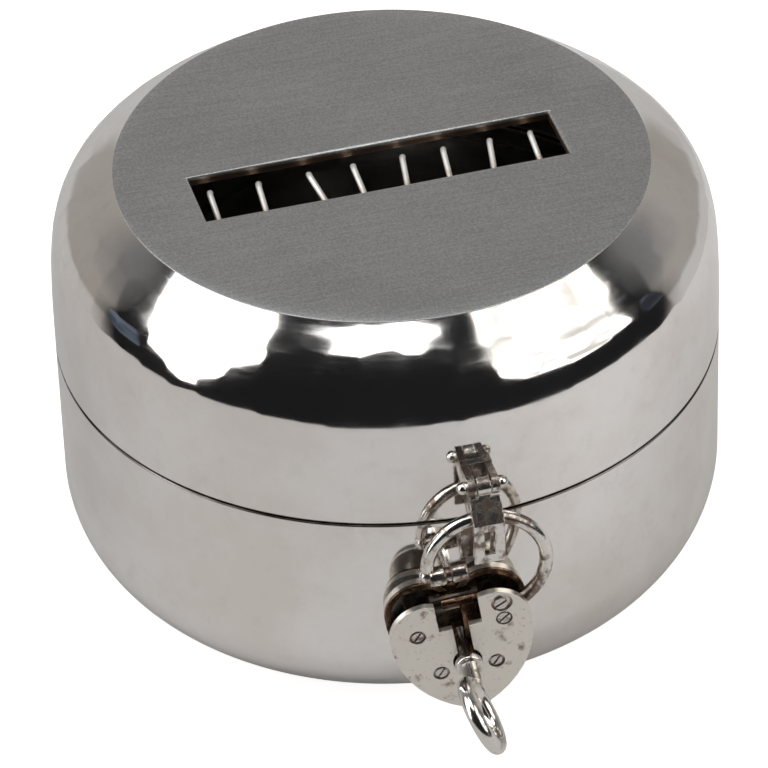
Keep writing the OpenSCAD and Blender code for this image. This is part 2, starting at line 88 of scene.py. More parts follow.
# %% [markdown]
# ## The camera
#
# A long lens from the front left, looking down at about 38 degrees. A camera can be aimed with
# a Track To constraint, but that leaves the roll and the exact aim to chance. Here the view is
# given by a heading, a dip and a small roll, because those are what a photographer sets, and a
# few lines of vector maths turn them into the camera's own axes.

# %% Camera
heading, dip, roll = math.radians(13.64), math.radians(37.64), math.radians(-2.0)
camera_place = np.array([-0.1559, -0.6395, 0.5334])
ahead = np.array([math.sin(heading) * math.cos(dip), math.cos(heading) * math.cos(dip),
                  -math.sin(dip)])
level = np.array([math.cos(heading), -math.sin(heading), 0.0])
above = np.cross(level, ahead)
right = math.cos(roll) * level + math.sin(roll) * above
upward = math.cos(roll) * above - math.sin(roll) * level

lens = bpy.data.cameras.new("camera")
lens.lens, lens.sensor_width = 256.1, 36.0
lens.shift_x, lens.shift_y = -0.0005, -0.0040
lens.clip_start, lens.clip_end = 0.05, 20.0
camera = bpy.data.objects.new("camera", lens)
camera_axes = np.stack([right, upward, -ahead, camera_place], 1)
camera.matrix_world = Matrix([*camera_axes.tolist(), [0, 0, 0, 1]])
bpy.context.scene.collection.objects.link(camera)
bpy.context.scene.camera = camera
bpy.context.scene.view_settings.view_transform = "Standard"
print(f"camera {np.linalg.norm(camera_place):.2f} m from the bank's foot, lens {lens.lens:.1f} mm")

# %% [markdown]
# ## Meshes from arrays
#
# Nearly every piece is a grid of points worked out with numpy: a profile turned round an
# axis, or a round section carried along a path. Blender's Screw and Curve tools could make
# the plain ones, but an array can also carry hammer marks, a varying radius or a square hole.
# One function joins the grid's neighbours into quads. Others put any number of such grids
# into one object, merge the points that coincide at a pole, and turn every face outwards.


# %% Grid, mesh and object helpers
def grid_faces(count_u, count_v, closed_u=False, closed_v=False):
    """Quads between neighbours of a grid; a closed direction also joins its last row to the
    first."""
    u = np.arange(count_u if closed_u else count_u - 1)
    v = np.arange(count_v if closed_v else count_v - 1)
    u, v = (part.ravel() for part in np.meshgrid(u, v, indexing="ij"))
    u_next, v_next = (u + 1) % count_u, (v + 1) % count_v
    return np.stack([u * count_v + v, u_next * count_v + v, u_next * count_v + v_next,
                     u * count_v + v_next], 1)


def fill_mesh(name, grids):
    """A mesh of several grids: each is (points in millimetres, closed_u, closed_v)."""
    points, faces, start = [], [], 0
    for grid, closed_u, closed_v in grids:
        faces.append(start + grid_faces(grid.shape[0], grid.shape[1], closed_u, closed_v))
        points.append(grid.reshape(-1, 3) * MM)
        start += len(points[-1])
    mesh = bpy.data.meshes.new(name)
    mesh.from_pydata(np.concatenate(points).tolist(), [], np.concatenate(faces).tolist())
    return mesh


SOFT_CREASE = math.radians(38)


def clean(mesh, crease=SOFT_CREASE):
    """Merges points that coincide, turns the faces outwards, and shades smoothly up to the
    crease angle."""
    work = bmesh.new()
    work.from_mesh(mesh)
    bmesh.ops.remove_doubles(work, verts=work.verts, dist=1e-7)
    bmesh.ops.dissolve_degenerate(work, edges=work.edges, dist=1e-8)
    bmesh.ops.recalc_face_normals(work, faces=work.faces)
    work.to_mesh(mesh)
    work.free()
    mesh.shade_smooth()
    mesh.set_sharp_from_angle(angle=crease)
    return mesh


def place_piece(name, mesh, body, material, replaced):
    """Adds the piece with its material, on its body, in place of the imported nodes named."""
    piece = bpy.data.objects.new(name, mesh)
    bpy.context.scene.collection.objects.link(piece)
    mesh.materials.clear()
    mesh.materials.append(material)
    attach(piece, body)
    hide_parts(*replaced)
    return piece


def made_piece(name, grids, body, material, replaced, crease=SOFT_CREASE):
    """Fills, cleans and places a piece made of grids."""
    mesh = clean(fill_mesh(name, grids), crease)
    print(f"{name}: {len(mesh.polygons)} faces")
    return place_piece(name, mesh, body, material, replaced)


# %% [markdown]
# ## Profiles and paths
#
# Turned work is a profile spun round an axis, and wire work is a round section carried along
# a path. Both are one formula over two parameters, so numpy can fill the whole grid at once.
# The axes are given to the functions, because the padlock hangs askew.


# %% Profiles and paths
def turned(profile, count, axes=np.eye(3), origin=(0, 0, 0)):
    """Surface of revolution. profile is (radius, height) rows; point = origin + radius times
    (cos a, sin a) in the first two axes + height along the third."""
    angle = np.arange(count) * 2 * np.pi / count
    ring = np.cos(angle)[:, None] * axes[0] + np.sin(angle)[:, None] * axes[1]
    return (np.asarray(origin) + profile[None, :, :1] * ring[:, None]
            + profile[None, :, 1:] * np.asarray(axes[2]))


def arc_points(centre, radius, start, end, count):
    """Points on a circular arc in a plane, angles in degrees."""
    angle = np.radians(np.linspace(start, end, count))
    return np.asarray(centre) + radius * np.stack([np.cos(angle), np.sin(angle)], 1)


def line_points(start, end, count):
    """Evenly spaced points on a straight line."""
    return np.asarray(start) + np.linspace(0, 1, count)[:, None] * np.subtract(end, start)


def swept(path, radius, side, count):
    """Round section carried along a path that stays square to side. With t the path's
    direction, point = path + radius times (cos a side + sin a (side x t))."""
    ahead_of = np.gradient(path, axis=0)
    ahead_of /= np.linalg.norm(ahead_of, axis=1, keepdims=True)
    side = np.broadcast_to(side, path.shape)
    other = np.cross(side, ahead_of)
    other /= np.linalg.norm(other, axis=1, keepdims=True)
    side = np.cross(ahead_of, other)
    angle = (np.arange(count) * 2 * np.pi / count)[:, None, None]
    section = np.cos(angle) * side + np.sin(angle) * other
    return path[None] + np.asarray(radius).reshape(1, -1, 1) * section


# %% [markdown]
# ## A small language for shaders
#
# A material is a formula over the surface. Its nodes can be placed by hand or by long lists
# of links, but both are hard to read back. The class below wraps one socket, and its
# operators add Math nodes, so the formula can be read as an expression. Colours go through
# a Mix node, because a Math node would turn them grey.


# %% Shader expressions
class Signal:
    """A node's output. Arithmetic on it adds Math nodes; node() adds any other node."""

    def __init__(self, tree, socket=None):
        self.tree, self.socket = tree, socket

    def node(self, kind, settings=(), inputs=(), output=0):
        """Adds a node: its settings first, then each socket's value or link."""
        made = self.tree.nodes.new("ShaderNode" + kind)
        for key, value in dict(settings).items():
            setattr(made, key, value)
        for key, value in dict(inputs).items():
            if isinstance(value, Signal):
                self.tree.links.new(value.socket, made.inputs[key])
            else:
                made.inputs[key].default_value = value
        return Signal(self.tree, made.outputs[output])

    def math(self, operation, first, second=0.0):
        """A Math node on two values."""
        return self.node("Math", {"operation": operation}, {0: first, 1: second})

    def __add__(self, other):
        return self.math("ADD", self, other)

    def __sub__(self, other):
        return self.math("SUBTRACT", self, other)

    def __rsub__(self, other):
        return self.math("SUBTRACT", other, self)

    def __mul__(self, other):
        return self.math("MULTIPLY", self, other)

    __radd__, __rmul__ = __add__, __mul__

    def step(self, low, high):
        """0 below low, 1 above high, smooth between."""
        return self.node("MapRange", {"interpolation_type": "SMOOTHSTEP"},
                         {"Value": self, "From Min": low, "From Max": high})

    def noise(self, where, scale, detail=2.0, roughness=0.5):
        """Noise from 0 to 1; scale is about the number of features in a metre."""
        return self.node("TexNoise", {}, {"Vector": where, "Scale": scale, "Detail": detail,
                                          "Roughness": roughness})

    def mix(self, factor, first, second):
        """Colour between two colours."""
        return self.node("Mix", {"data_type": "RGBA"}, {0: factor, 6: first, 7: second}, 2)


def new_material(name):
    """An empty material, its starting Signal and its surface socket."""
    material = bpy.data.materials.new(name)
    material.use_nodes = True
    tree = material.node_tree
    tree.nodes.clear()
    surface = tree.nodes.new("ShaderNodeOutputMaterial").inputs["Surface"]
    print("material", name)
    return material, Signal(tree), surface


def object_place(start, scale=(1, 1, 1), turn=(0, 0, 0)):
    """Object coordinates, stretched and turned by a Mapping node."""
    where = start.node("TexCoord", {}, {}, "Object")
    return start.node("Mapping", {}, {"Vector": where, "Scale": scale, "Rotation": turn})


def object_height(start):
    """Height above the table when the bank is shut, in metres."""
    return start.node("SeparateXYZ", {}, {0: object_place(start)}, "Z")


def metal(start, surface, colour, roughness, bumps, metallic=1.0):
    """Connects a metal; bumps is rows of (height signal, depth in metres)."""
    normal = {}
    for height, depth in bumps:
        inputs = {"Height": height, "Distance": depth, "Strength": 1.0, **normal}
        normal = {"Normal": start.node("Bump", {}, inputs)}
    shader = start.node("BsdfPrincipled", {}, {
        "Base Color": colour, "Metallic": metallic, "Roughness": roughness, **normal})
    start.tree.links.new(shader.socket, surface)


# %% [markdown]
# ## Burnished silver
#
# The cup and the lid are rubbed almost to a mirror. A mirror alone looks like plastic film,
# and a picture of scratches would be a fixed size. Layers of noise give what years of
# handling give: clouds of warmer metal, flecks and hair scratches in the gloss. On the two
# lips where lid and cup meet, a dark painted shade widens the seam's dark line.


# %% Burnished silver
seam_z = (cup_high[2] + lid_low[2]) / 2


def burnished_silver(name, ripple):
    """Polished sheet: a faint cloud of warmer metal, hair scratches in the gloss, shallow
    upright ripples of the given depth in metres, and a dark painted shade beside the seam."""
    material, start, surface = new_material(name)
    cloud = start.noise(object_place(start), 42.0, 5.0, 0.62).step(0.36, 0.68)
    fleck = start.noise(object_place(start), 260.0, 4.0, 0.7).step(0.5, 0.78)
    colour = start.mix(cloud * 0.9, (0.93, 0.915, 0.9, 1), (0.837, 0.79605, 0.756, 1))
    colour = start.mix(fleck * 0.22, colour, (0.6, 0.57, 0.55, 1))
    hair = start.noise(object_place(start, (60, 60, 900)), 3.0, 4.0).step(0.5, 0.75)
    wear = start.noise(object_place(start), 160.0, 3.0).step(0.45, 0.8)
    from_seam = object_height(start) - seam_z * MM
    off_seam = start.math("ABSOLUTE", from_seam)
    # Painted shade: a dark band up to 0.5 mm either side of the seam, which widens its dark line;
    # it also roughens the gloss there.
    painted_seam_shade = 1 - off_seam.step(0.25 * MM, 0.5 * MM)
    colour = start.mix(painted_seam_shade * (0.7 + cloud * 0.3), colour, (0.05, 0.032, 0.022, 1))
    gloss = 0.065 + hair * 0.03 + wear * 0.05 + painted_seam_shade * 0.2
    waves = start.noise(object_place(start, (1, 1, 0.25)), 210.0, 1.0)
    metal(start, surface, colour, gloss, [(waves, ripple), (hair, 0.4e-6)])
    return material


silver_cup = burnished_silver("burnished_silver", 16e-6)
silver_lid = burnished_silver("planished_silver", 8e-6)


# %% [markdown]
# ## Hammer marks
#
# A smith trues a raised form with a planishing hammer: each blow leaves a shallow flat, and
# the flats meet in soft ridges. A bump map can show that, but the marks would then be gone
# from the mesh. So they are real: for every point of the sheet the distance to the nearest
# blow is found, and the ridge grows with its square. In the shoulder's reflections the marks
# are what makes the edges of the light ragged.


# %% Hammer marks
def hammer_ridges(around, along, cell_around, cell_along, length_around, seed):
    """Square of the distance to the nearest hammer blow, as a share of the cell's size.
    Blows sit on a jittered grid, which closes on itself after length_around."""
    count = int(round(length_around / cell_around))
    x = around / length_around * count
    y = along / cell_along
    rows = int(np.ceil(y.max())) + 3
    jitter = np.random.default_rng(seed).uniform(0.12, 0.88, (2, count, rows))
    column, row = np.floor(x).astype(int), np.floor(y).astype(int)
    nearest = np.full(x.shape, 9.0)
    for step_x in (-1, 0, 1):
        for step_y in (-1, 0, 1):
            i, j = (column + step_x) % count, np.clip(row + step_y + 1, 0, rows - 1)
            gap_x = column + step_x + jitter[0, i, j] - x
            gap_y = row + step_y + jitter[1, i, j] - y
            nearest = np.minimum(nearest, gap_x**2 + gap_y**2)
    return nearest


def smooth_step(value, low, high):
    """0 below low, 1 above high, and 3 t squared - 2 t cubed between."""
    t = np.clip((value - low) / (high - low), 0, 1)
    return t * t * (3 - 2 * t)


def outward(profile):
    """Unit normals of a profile that runs downwards on its outer side."""
    ahead_of = np.gradient(profile, axis=0)
    normal = np.stack([-ahead_of[:, 1], ahead_of[:, 0]], 1)
    return normal / np.linalg.norm(normal, axis=1, keepdims=True)


def hammered(profile, count, depth_along, cell, seed):
    """Turns the profile and sinks its points along their normals by depth_along (one depth
    for each profile point, in millimetres) times the ridges' height."""
    length_around = 2 * np.pi * body_r
    grid = (count, len(profile))
    around = np.broadcast_to(np.arange(count)[:, None] / count * length_around, grid)
    steps = np.linalg.norm(np.diff(profile, axis=0, prepend=profile[:1]), axis=1)
    along = np.broadcast_to(np.cumsum(steps), grid)
    ridges = hammer_ridges(around, along, *cell, length_around, seed)
    sink = depth_along[None] * (1 - np.clip(ridges, 0, 1))
    return turned(profile, count) - sink[..., None] * turned(outward(profile), count)


# %% [markdown]
# ## The lid
#
# The lid is one sheet: a short wall, a shoulder that leans in at 37 degrees, and a ledge that
# carries the disc. It could be a subdivided cylinder, but then the shoulder's curve would
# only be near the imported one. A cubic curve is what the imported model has, so the same one is
# used, and the inside is that curve moved in by the sheet's thickness. The marks are
# strongest on the shoulder and almost polished away on the wall.

# %% The lid's profile
shoulder_drop, shoulder_slope = 23.3, math.radians(37)
slope_pull, wall_pull = 0.85, 0.77
edge_round, ledge_w = 0.25, 1.8
shoulder_w = body_r - disc_r
shoulder_foot = top_z - shoulder_drop
knots = np.array([[disc_r, lid_high[2]],
                  [disc_r + slope_pull * shoulder_w,
                   lid_high[2] - slope_pull * shoulder_w * math.tan(shoulder_slope)],
                  [body_r, top_z - shoulder_drop * (1 - wall_pull)],
                  [body_r, shoulder_foot]])
t = np.linspace(0, 1, 72)[:, None]
shoulder = ((1 - t)**3 * knots[0] + 3 * (1 - t)**2 * t * knots[1]
            + 3 * (1 - t) * t**2 * knots[2] + t**3 * knots[3])
rim_z = lid_low[2]
round_z = rim_z + edge_round
ledge_z = top_z - disc_t - wall_t
outer = np.concatenate([shoulder, line_points(shoulder[-1], (body_r, round_z), 18)[1:]])
inner = outer - wall_t * outward(outer)
inner = inner[inner[:, 1] < ledge_z][::4]
rim = np.concatenate([
    arc_points((body_r - edge_round, round_z), edge_round, 0, -90, 6)[1:],
    arc_points((inner_r + edge_round, round_z), edge_round, -90, -180, 6)])
ledge = np.array([[disc_r - ledge_w, ledge_z], [disc_r - ledge_w, ledge_z + wall_t],
                  [disc_r, ledge_z + wall_t]])
lid_profile = np.concatenate([outer, rim, inner[::-1][1:], ledge])
print(f"lid profile of {len(lid_profile)} points, shoulder {shoulder_w:.1f} wide")

# %% The lid's hammer marks
wall_mark, shoulder_mark = 0.006, 0.085
lid_blows = (5.2, 4.6)
on_shoulder = (smooth_step(lid_profile[:, 1], shoulder_foot - 3, shoulder_foot + 9)
               * smooth_step(top_z - lid_profile[:, 1], 1.3, 4.2))
outside = (np.arange(len(lid_profile)) < len(outer) - 1).astype(float)
lid_depth = outside * (wall_mark + shoulder_mark * on_shoulder)
lid_depth[0] = 0
lid_grid = hammered(lid_profile, count=640, depth_along=lid_depth, cell=lid_blows, seed=11)
made_piece("lid", [(lid_grid, True, True)], "lid", silver_lid, ["lid_shell"])

# %% [markdown]
# ## The cup
#
# The cup is raised from one sheet: a flat foot, a wide rounded corner and an upright wall
# with a rolled lip. Solidify could thicken an outer skin, but it would leave a sharp lip, and
# the lip beside the seam shows as a fine bright line. So the profile runs up the inside, over
# the lip and down the outside, and both of its ends lie on the axis, which closes the foot.

# %% Cup
corner_r = 15.0
foot_centre = np.array([body_r - corner_r, corner_r])
round_z = cup_high[2] - edge_round
cup_inside = np.concatenate([
    [[0, wall_t]],
    line_points((8, wall_t), (body_r - corner_r, wall_t), 6),
    arc_points(foot_centre, corner_r - wall_t, -90, 0, 14)[1:],
    line_points((inner_r, corner_r), (inner_r, round_z), 6)[1:],
    arc_points((inner_r + edge_round, round_z), edge_round, 180, 90, 6)[1:],
    arc_points((body_r - edge_round, round_z), edge_round, 90, 0, 6)])
cup_outside = np.concatenate([
    line_points((body_r, round_z), (body_r, corner_r), 40)[1:],
    arc_points(foot_centre, corner_r, 0, -90, 34)[1:],
    line_points((body_r - corner_r, 0), (0, 0), 8)[1:]])
cup_profile = np.concatenate([cup_inside, cup_outside])
past_lip = np.arange(len(cup_profile)) - len(cup_inside)
cup_depth = wall_mark * smooth_step(past_lip, 0, 6) * smooth_step(cup_profile[:, 1], 1.0, 9.0)
cup_blows = (7.0, 11.0)
cup_grid = hammered(cup_profile, count=512, depth_along=cup_depth, cell=cup_blows, seed=5)
made_piece("cup", [(cup_grid, True, False)], "cup", silver_cup,
           ["body_shell"])

# %% [markdown]
# ## Satin silver
#
# The disc was rubbed one way with fine grit, so it looks grey and soft beside the polished
# shoulder. Anisotropic gloss could give that, but the rubbing here is too fine and uneven to
# stretch the highlights. Long thin noise makes the lines and fine noise makes the grain; the
# slot's cut faces get a dark brown painted shade that deepens below the top face.


# %% Satin silver
def satin_silver(name):
    """The disc: fine one-way rubbing lines and a dull, even gloss; the slot's cut faces get a
    brown painted shade below the top face."""
    material, start, surface = new_material(name)
    lines = start.noise(object_place(start, (40, 1300, 60), (0, 0, 0.05)), 2.0, 4.0, 0.6)
    grain = start.noise(object_place(start), 2600.0, 2.0, 0.7)
    cloud = start.noise(object_place(start), 55.0, 3.0)
    height = object_height(start)
    painted_slot_shade = 1 - height.step((top_z - 0.85) * MM, (top_z - 0.3) * MM)
    above_back = height.step((top_z - disc_t + 0.01) * MM, (top_z - disc_t + 0.06) * MM)
    tint = lines * 0.3 + grain * 0.55 + cloud * 0.15
    pale = start.mix(tint.step(0.36, 0.64), (0.6, 0.6, 0.6, 1), (0.84, 0.84, 0.835, 1))
    # Painted shade: faces below the top turn dark brown from 0.3 to 0.85 mm down, but not the
    # disc's back face.
    colour = start.mix(painted_slot_shade * above_back * 0.95, pale, (0.2, 0.11, 0.06, 1))
    gloss = 0.33 + lines * 0.06 + grain * 0.1
    metal(start, surface, colour, gloss, [(lines, 4e-6), (grain, 3e-6)])
    return material


silver_disc = satin_silver("satin_silver")


# %% [markdown]
# ## The disc and its slot
#
# A Boolean would cut the slot, but it leaves long thin faces that shade badly on metal. The
# disc is one grid between two outlines instead: the slot's rectangle and the round edge. For
# each direction from the slot's middle there is one point on each outline, and the grid runs
# between them. Directions through the slot's corners are among them, so the corners stay
# square. The slot's upper edge is burnished over, which gives it a bright line.

# %% The slot's place
slot_turn, slot_forward, slot_side = math.radians(1), 1.3, -0.7
slot_half = np.array([55.5, 11.4]) / 2


def from_slot(points):
    """Points in the slot's axes (x along it, y to the rear) to the bank's axes."""
    c, s = math.cos(slot_turn), math.sin(slot_turn)
    x, y = points[..., 0] + slot_side, points[..., 1] - slot_forward
    return np.stack([c * x - s * y, s * x + c * y, points[..., 2]], -1)


print(f"slot {2 * slot_half[0]:.1f} x {2 * slot_half[1]:.1f}")

# %% Disc with a slot
corner = math.atan2(slot_half[1], slot_half[0])
corners = [corner, np.pi - corner, np.pi + corner, 2 * np.pi - corner]
angles = np.sort(np.concatenate([np.arange(360) * np.pi / 180, corners]))
direction = np.stack([np.cos(angles), np.sin(angles)], 1)
to_slot = np.min(slot_half / np.maximum(np.abs(direction), 1e-9), axis=1)
toward_centre = direction @ [-slot_side, slot_forward]
off_centre = slot_side**2 + slot_forward**2
to_edge = toward_centre + np.sqrt(toward_centre**2 + disc_r**2 - off_centre)
burnish, spread, nick = 0.3, 2.4, 0.1
burnished = arc_points((burnish, -burnish), burnish, 180, 90, 9) * [spread, 1]
levels = np.array([(0.0, 0.0, -disc_t)]
                  + [(0.0, inset, drop) for inset, drop in burnished]
                  + [(share, 0.0, 0.0) for share in np.linspace(0.1, 0.9, 12)]
                  + [(1.0, -nick, 0.0), (1.0, -0.03, -0.03), (1.0, 0.0, -nick),
                     (1.0, 0.0, -disc_t)])
share, inset, drop = levels.T
reach = to_slot[:, None] + inset + share * (to_edge - to_slot)[:, None]
disc_grid = np.stack([direction[:, :1] * reach, direction[:, 1:] * reach,
                      np.broadcast_to(top_z + drop, reach.shape)], -1)
made_piece("disc", [(from_slot(disc_grid), True, True)], "lid", silver_disc,
           ["top_disc"], math.radians(50))

# %% [markdown]
# ## The guard wires' finish
#
# The hooks get a white painted light near the slot's opening, and the feet a brown painted
# shade deeper in the slot. Two materials would meet at a line. One material that mixes by
# height, with noise to break the edge, changes as the real wires do.


# %% The wires' finish
def wire_silver_finish(name):
    """The guard wires: a white painted light on the hooks, a brown painted shade towards the foot.
    """
    material, start, surface = new_material(name)
    patches = start.noise(object_place(start), 900.0, 3.0)
    # Painted light and shade by height: white and a little glossier above, brown below.
    painted_light_by_height = (object_height(start) + patches * 0.0016).step((top_z - 3.4) * MM, (top_z - 1.6) * MM)
    colour = start.mix(painted_light_by_height, (0.42, 0.27, 0.17, 1), (0.97, 0.95, 0.91, 1))
    metal(start, surface, colour, 0.52 - painted_light_by_height * 0.1, [(patches, 6e-6)], 0.6)
    return material


wire_silver = wire_silver_finish("guard_wire_silver")

# %% [markdown]
# ## The guard wires
#
# Eight spring wires stand on a strip under the slot's front edge. Each leans to the rear and
# hooks over, so that coins go in but don't shake out. A bevelled curve would do for a straight
# one, but its ends would be flat. Here a round section follows a path with a soft bend, and its
# radius shrinks at both ends as a ball's does. The wires don't all lean alike.

# %% Wire paths
wire_r, wire_pitch, wire_offset, wire_count = 0.45, 7.0, -0.2, 8
wire_leans = [0.3, -0.1, 2.6, 0.8, -1.2, -0.7, -1.5, 0.3]
wire_shifts = [0, 0, 3.4, 1.4, 0, -0.2, -0.8, 0.3]
wire_head = np.array([slot_half[1] - 2, top_z - disc_t - wire_r])


def hooked(points, bend, count=10):
    """A path along two straight legs whose corner is replaced by a curve that starts and
    ends at the distance bend from it: (1 - s)^2 a + 2 (1 - s) s corner + s^2 b."""
    start, corner, end = points
    first = (corner - start) / np.linalg.norm(corner - start)
    second = (end - corner) / np.linalg.norm(end - corner)
    a, b = corner - bend * first, corner + bend * second
    s = np.linspace(0, 1, count)[:, None]
    curve = (1 - s)**2 * a + 2 * (1 - s) * s * corner + s**2 * b
    return np.concatenate([line_points(start, a, 8)[:-1], curve, line_points(b, end, 5)[1:]])


def round_ends(path, radius, count=6):
    """The path with rounded ends: more points near each end, and a radius for every point,
    which shrinks to nothing there as a circle does."""
    angle = np.linspace(0, np.pi / 2, count)
    start, end = path[1] - path[0], path[-2] - path[-1]
    start, end = start / np.linalg.norm(start), end / np.linalg.norm(end)
    head = path[0] + radius * (1 - np.cos(angle))[:, None] * start
    tail = path[-1] + radius * (1 - np.cos(angle[::-1]))[:, None] * end
    inside, clear = path[1:-1], radius * 1.05
    keep = ((np.linalg.norm(inside - path[0], axis=1) > clear)
            & (np.linalg.norm(inside - path[-1], axis=1) > clear))
    radii = np.concatenate([radius * np.sin(angle), np.full(keep.sum(), radius),
                            radius * np.sin(angle[::-1])])
    return np.concatenate([head, inside[keep], tail]), radii


# %% Guard wires
rail_low, _ = box_mm("wire_rail")
rail_set_back, foot_up = 1.2, 0.8
wire_foot = np.array([-slot_half[1] - rail_set_back + wire_r, rail_low[2] + foot_up])
hook, bend = np.array([0.5, 1.3, -1.1]), 0.9
for number in range(wire_count):
    x = (number - (wire_count - 1) / 2) * wire_pitch + wire_offset + wire_shifts[number]
    head = np.array([x - wire_leans[number], *wire_head])
    legs = np.array([[x, *wire_foot], head, head + hook])
    path, radii = round_ends(hooked(legs, bend), wire_r)
    tube = swept(path, radii, np.array([1.0, 0, 0]), 16)
    made_piece(f"guard_wire_{number + 1}_tube", [(from_slot(tube), True, False)], "lid",
               wire_silver, [f"guard_wire_{number + 1}"])

# %% [markdown]
# ## Worn hardware silver
#
# The hasp, the padlock and the key are cast and filed parts. They are bright where fingers
# rub and brown in every hollow. Painting that by hand would need an image for each part. An
# Ambient Occlusion node finds the hollows of a part's own shape, and noise breaks up the
# stain. One function with a few values makes all six metals of the hardware.


# %% Hardware silver
def worn_silver(name, tone, stain, cover, gloss, grain_depth=3e-6):
    """Cast and filed metal: brown stain in patches, small scratches, and a slightly lumpy
    surface. cover is the stained share, from 0 to 1."""
    material, start, surface = new_material(name)
    patches = start.noise(object_place(start), 420.0, 4.0, 0.6)
    hidden = start.node("AmbientOcclusion", {"only_local": True, "samples": 8},
                        {"Distance": 0.0012}, "AO")
    hollow = 1 - hidden.step(0.45, 0.95)
    stained = (patches + hollow * 0.35).step(0.72 - 0.5 * cover, 0.88 - 0.5 * cover)
    speck = start.noise(object_place(start), 1900.0, 2.0).step(0.62, 0.75)
    colour = start.mix(stained * 0.85, (*tone, 1), (*stain, 1))
    colour = start.mix(speck * 0.35, colour, (*stain, 1))
    scratch = start.noise(object_place(start, (1, 1, 9), (0.6, 0.3, 0.2)), 700.0, 3.0)
    rough = gloss + stained * 0.16 + scratch.step(0.5, 0.8) * 0.08
    metal(start, surface, colour, rough, [(patches, grain_depth), (scratch, 2e-6)])
    return material


hardware = worn_silver("hardware_silver", (0.84, 0.81, 0.765), (0.15, 0.09, 0.06), 0.56, 0.17)
plate_silver = worn_silver("padlock_plate_silver", (0.85, 0.815, 0.755), (0.28, 0.2, 0.145),
                           0.3, 0.32, 8e-6)
# The padlock's inner parts: a brown metal, darkened nearly to black as a painted shade between the
# plates.
inner_brown_and_shade = worn_silver("padlock_inner_brown", (0.3, 0.19, 0.125), (0.03, 0.02, 0.015),
                          0.55, 0.24)
screw_silver = worn_silver("screw_silver", (0.7, 0.67, 0.63), (0.1, 0.065, 0.045), 0.35, 0.25)
dark_silver = worn_silver("dark_silver", (0.3, 0.26, 0.23), (0.07, 0.05, 0.04), 0.4, 0.32)
key_silver = worn_silver("key_silver", (0.84, 0.81, 0.77), (0.14, 0.095, 0.07), 0.34, 0.16)


# %% [markdown]
# ## The small hardware
#
# Flat, filed parts such as the hasp, the lug and the padlock's plates already have the right
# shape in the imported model, so they aren't built twice. A copy of the mesh is merged, because
# it comes as loose triangles, its flat faces are joined, and a Bevel modifier breaks every
# edge. A filed edge that catches the light is what makes metal look real.


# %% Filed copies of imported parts
def filed(node, body, material, edge, segments=2):
    """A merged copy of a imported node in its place, with edges broken by edge millimetres."""
    mesh = nodes[node].data.copy()
    work = bmesh.new()
    work.from_mesh(mesh)
    bmesh.ops.remove_doubles(work, verts=work.verts, dist=2e-7)
    bmesh.ops.dissolve_limit(work, angle_limit=math.radians(0.6), verts=work.verts,
                             edges=work.edges)
    work.to_mesh(mesh)
    work.free()
    mesh.shade_smooth()
    piece = place_piece(node + "_filed", mesh, body, material, [node])
    bevel = piece.modifiers.new("edges", "BEVEL")
    bevel.width, bevel.segments = edge * MM, segments
    bevel.limit_method, bevel.angle_limit = "ANGLE", math.radians(35)
    bevel.harden_normals = True
    mesh.set_sharp_from_angle(angle=math.radians(35))
    print(f"{piece.name}: {len(mesh.polygons)} faces before its bevel")


filed("lock_lug", "cup", hardware, 0.15)
filed("hasp_bracket", "lid", hardware, 0.15)
filed("hasp", "hasp", hardware, 0.3, 3)
filed("case_back", "padlock_case", plate_silver, 0.15)
filed("case_front", "padlock_case", plate_silver, 0.12)
filed("case_rim", "padlock_case", inner_brown_and_shade, 0.1)
filed("case_screws", "padlock_case", screw_silver, 0.06)
filed("shackle_pivot", "padlock_case", screw_silver, 0.06)
filed("lock_bolt", "lock_bolt", inner_brown_and_shade, 0.08)
filed("hinge_leaf_body", "cup", silver_cup, 0.15)
filed("hinge_leaf_lid", "lid", silver_lid, 0.15)

# %% [markdown]
# ## The hasp's pin
#
# A short pin with a ball on each end, like a tiny dumb-bell. Two spheres and a cylinder would
# leave a hard line where they meet. One turned profile runs from ball to ball, and its second
# half is the first one mirrored.

# %% Hasp pin
pin_low, pin_high = box_mm("hasp_pin")
pin_centre = (pin_low + pin_high) / 2
pin_half = (pin_high - pin_low)[0] / 2
ball_r, pin_r = 0.95, 0.6
ball_place = pin_half - ball_r
half_pin = np.concatenate([[[pin_r, 0], [pin_r, ball_place - 0.6]],
                           arc_points((0, ball_place), ball_r, -42, 90, 16)])
pin_profile = np.concatenate([half_pin[::-1] * [1, -1], half_pin[1:]])
across = np.array([[0, 1, 0], [0, 0, 1], [1, 0, 0]], float)
made_piece("hasp_pin_turned", [(turned(pin_profile, 32, across, pin_centre), True, False)],
           "lid", hardware, ["hasp_pin"])

# %% [markdown]
# ## The padlock's shackle
#
# A round wire bent into a ring that doesn't quite close. One end is a flat eye on the
# padlock's pivot; the other carries a short barrel with a groove, which the bolt holds when
# the lock is shut. A torus would close on itself, so the ring is a section carried along an
# arc, and the barrel, the ball and the eye are turned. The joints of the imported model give
# the axes that the padlock hangs in, so nothing is lined up by eye.

# %% The axes that the padlock hangs in
hang_place = np.array(joints["padlock_swing"]["pos_m"]) / MM
pivot_place = np.array(joints["shackle_pivot"]["pos_m"]) / MM
hang_out = np.array(joints["shackle_pivot"]["axis"], float)
hang_up = np.array([0.0, 0.0, 1.0])
hang_right = np.cross(hang_up, hang_out)
hang_axes = np.stack([hang_right, hang_up, hang_out])


def hanging(points):
    """Points in the hanging padlock's axes (right, up, out) to the bank's axes."""
    return hang_place + points @ hang_axes


print(f"padlock hangs at {np.round(hang_place, 2)}")

